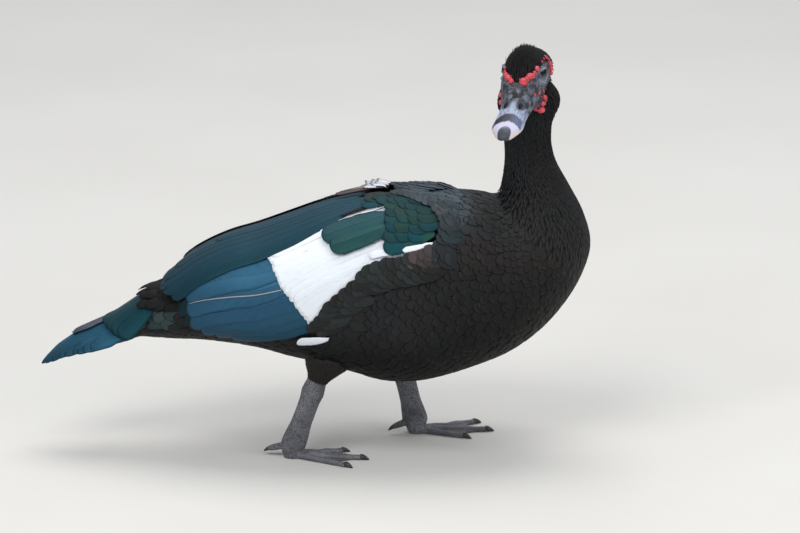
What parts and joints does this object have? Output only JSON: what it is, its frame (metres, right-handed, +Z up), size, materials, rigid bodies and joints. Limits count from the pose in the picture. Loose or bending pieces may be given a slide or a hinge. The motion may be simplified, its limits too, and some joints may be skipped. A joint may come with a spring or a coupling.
{
  "type": "muscovy duck model",
  "caption": "Life-size still model of a walking muscovy drake with folded wings, its head turned over its right side.",
  "frame": {"origin": "on the floor under the middle of the model's bounding box", "axes": "+X the way the bird walks, +Y to the bird's left, +Z up"},
  "size_m": [0.5458, 0.2046, 0.4169],
  "materials": {
    "plumage_black": "matt body feathers",
    "bare_face": "satin bare skin and crest",
    "bill_horn": "satin horn",
    "eye_gloss": "wet gloss",
    "flight_green": "glossy flight feathers",
    "leg_scales": "matt scaly skin",
    "claw_horn": "satin horn"
  },
  "bodies": {
    "root": {"torso": "plumage_black", "neck": "plumage_black", "head": "bare_face", "bill_upper": "bill_horn", "bill_lower": "bill_horn", "eye_left": "eye_gloss", "eye_right": "eye_gloss", "wing_left": "flight_green", "wing_right": "flight_green", "tail": "flight_green", "thigh_left": "plumage_black", "shank_left": "leg_scales", "foot_left": "leg_scales", "claw_inner_left": "claw_horn", "claw_middle_left": "claw_horn", "claw_outer_left": "claw_horn", "claw_hind_left": "claw_horn", "thigh_right": "plumage_black", "shank_right": "leg_scales", "foot_right": "leg_scales", "claw_inner_right": "claw_horn", "claw_middle_right": "claw_horn", "claw_outer_right": "claw_horn", "claw_hind_right": "claw_horn"}
  },
  "joints": []
}
